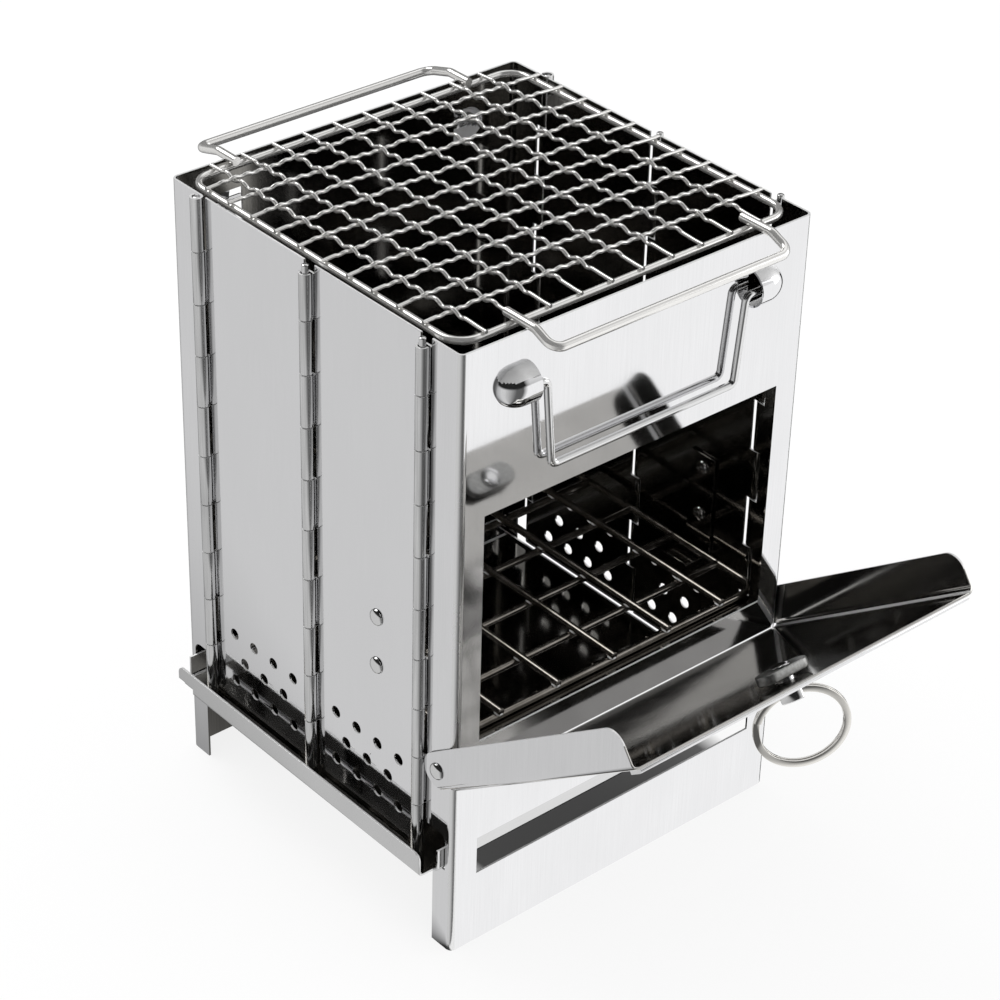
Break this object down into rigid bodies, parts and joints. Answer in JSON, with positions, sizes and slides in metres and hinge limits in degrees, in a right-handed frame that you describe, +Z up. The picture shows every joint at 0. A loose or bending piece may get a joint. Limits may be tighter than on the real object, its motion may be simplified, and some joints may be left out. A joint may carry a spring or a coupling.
{
  "type": "camping wood stove",
  "caption": "Square folding wood stove of polished steel sheet with a drop-down fire door, sliding ash tray, wire grate, crimped-wire grill, piano-hinged side walls and wire bails.",
  "frame": {"origin": "middle of the front panel's foot edge, half way through the sheet, on the ground", "axes": "+Z up, +Y from the front panel to the back panel, +X to the right as seen from the front"},
  "size_m": [0.1522, 0.2377, 0.2231],
  "materials": {
    "panel_sheet": "mirror-polished stainless steel sheet",
    "side_sheet": "polished stainless steel sheet",
    "door_sheet": "mirror-polished stainless steel sheet with fine scratches",
    "tray_sheet": "polished stainless steel sheet",
    "hinge_pin": "drawn steel wire",
    "rivet": "polished",
    "latch_stem": "turned and polished",
    "latch_cam": "cast and tumbled",
    "key_ring": "warm nickel plate",
    "bail_wire": "polished wire",
    "grate_wire": "dull welded wire",
    "grill_wire": "bright wire"
  },
  "bodies": {
    "front_panel": {"front_panel": "panel_sheet", "door_rivet_left": "rivet", "door_rivet_right": "rivet", "hinge_pin_left_front": "hinge_pin", "hinge_pin_right_front": "hinge_pin"},
    "left_front_wall": {"left_front_leaf": "side_sheet", "grate_bracket_left": "side_sheet", "leaf_rivet_left_lower": "rivet", "leaf_rivet_left_upper": "rivet", "hinge_pin_left_middle": "hinge_pin"},
    "left_rear_wall": {"left_rear_leaf": "side_sheet", "hinge_pin_left_rear": "hinge_pin"},
    "right_front_wall": {"right_front_leaf": "side_sheet", "grate_bracket_right": "side_sheet", "leaf_rivet_right_lower": "rivet", "leaf_rivet_right_upper": "rivet", "hinge_pin_right_middle": "hinge_pin"},
    "right_rear_wall": {"right_rear_leaf": "side_sheet", "hinge_pin_right_rear": "hinge_pin"},
    "back_panel": {"back_panel": "panel_sheet"},
    "fire_door": {"fire_door": "door_sheet"},
    "door_latch": {"latch_stem": "latch_stem", "latch_cam": "latch_cam"},
    "key_ring": {"key_ring": "key_ring"},
    "front_bail": {"front_bail": "bail_wire"},
    "rear_bail": {"rear_bail": "bail_wire"},
    "ash_tray": {"ash_tray": "tray_sheet"},
    "grate": {"grate": "grate_wire"},
    "grill": {"grill_frame": "grill_wire", "grill_handle_front": "grill_wire", "grill_handle_rear": "grill_wire", "grill_cross_wire_01": "grill_wire", "grill_cross_wire_02": "grill_wire", "grill_cross_wire_03": "grill_wire", "grill_cross_wire_04": "grill_wire", "grill_cross_wire_05": "grill_wire", "grill_cross_wire_06": "grill_wire", "grill_cross_wire_07": "grill_wire", "grill_cross_wire_08": "grill_wire", "grill_cross_wire_09": "grill_wire", "grill_cross_wire_10": "grill_wire", "grill_long_wire_01": "grill_wire", "grill_long_wire_02": "grill_wire", "grill_long_wire_03": "grill_wire", "grill_long_wire_04": "grill_wire", "grill_long_wire_05": "grill_wire", "grill_long_wire_06": "grill_wire", "grill_long_wire_07": "grill_wire", "grill_long_wire_08": "grill_wire", "grill_long_wire_09": "grill_wire", "grill_long_wire_10": "grill_wire"}
  },
  "joints": [
    {"name": "left_front_fold", "type": "hinge", "parent": "front_panel", "child": "left_front_wall", "pos_m": [-0.0714, 0.01505, 0.11], "axis": [0, 0, -1], "range_deg": [0, 1.5]},
    {"name": "left_middle_fold", "type": "hinge", "parent": "left_front_wall", "child": "left_rear_wall", "pos_m": [-0.0714, 0.06965, 0.11], "axis": [0, 0, -1], "range_deg": [-3, 0]},
    {"name": "left_rear_fold", "type": "hinge", "parent": "left_rear_wall", "child": "back_panel", "pos_m": [-0.0714, 0.12425, 0.11], "axis": [0, 0, -1], "range_deg": [0, 1.5]},
    {"name": "right_front_fold", "type": "hinge", "parent": "front_panel", "child": "right_front_wall", "pos_m": [0.0714, 0.01505, 0.11], "axis": [0, 0, -1], "range_deg": [-1.5, 0]},
    {"name": "right_middle_fold", "type": "hinge", "parent": "right_front_wall", "child": "right_rear_wall", "pos_m": [0.0714, 0.06965, 0.11], "axis": [0, 0, -1], "range_deg": [0, 3]},
    {"name": "fire_door_hinge", "type": "hinge", "parent": "front_panel", "child": "fire_door", "pos_m": [0, 0.00635, 0.0697], "axis": [-1, 0, 0], "range_deg": [0, 54.3]},
    {"name": "latch_turn", "type": "hinge", "parent": "fire_door", "child": "door_latch", "pos_m": [0, -0.06511, 0.12105], "axis": [0, 0.5835, 0.8121], "range_deg": [0, 90]},
    {"name": "ring_swing", "type": "hinge", "parent": "door_latch", "child": "key_ring", "pos_m": [0, -0.07136, 0.11236], "axis": [0.8131, -0.4727, 0.3397], "range_deg": [-110, 54]},
    {"name": "front_bail_swing", "type": "hinge", "parent": "front_panel", "child": "front_bail", "pos_m": [0, -0.00335, 0.203], "axis": [-1, 0, 0], "range_deg": [0, 130]},
    {"name": "rear_bail_swing", "type": "hinge", "parent": "back_panel", "child": "rear_bail", "pos_m": [0, 0.14265, 0.203], "axis": [1, 0, 0], "range_deg": [0, 130]},
    {"name": "ash_tray_slide", "type": "slide", "parent": "front_panel", "child": "ash_tray", "axis": [-1, 0, 0], "range_m": [0, 0.15]},
    {"name": "grate_lift", "type": "slide", "parent": "front_panel", "child": "grate", "axis": [0, 0, 1], "range_m": [0, 0.13]},
    {"name": "grill_lift", "type": "slide", "parent": "front_panel", "child": "grill", "axis": [0, 0, 1], "range_m": [0, 0.15]}
  ],
  "couplings": [
    {"joint": "left_middle_fold", "follows": "left_front_fold", "ratio": -2},
    {"joint": "left_rear_fold", "follows": "left_front_fold", "ratio": 1},
    {"joint": "right_front_fold", "follows": "left_front_fold", "ratio": -1},
    {"joint": "right_middle_fold", "follows": "left_front_fold", "ratio": 2}
  ]
}
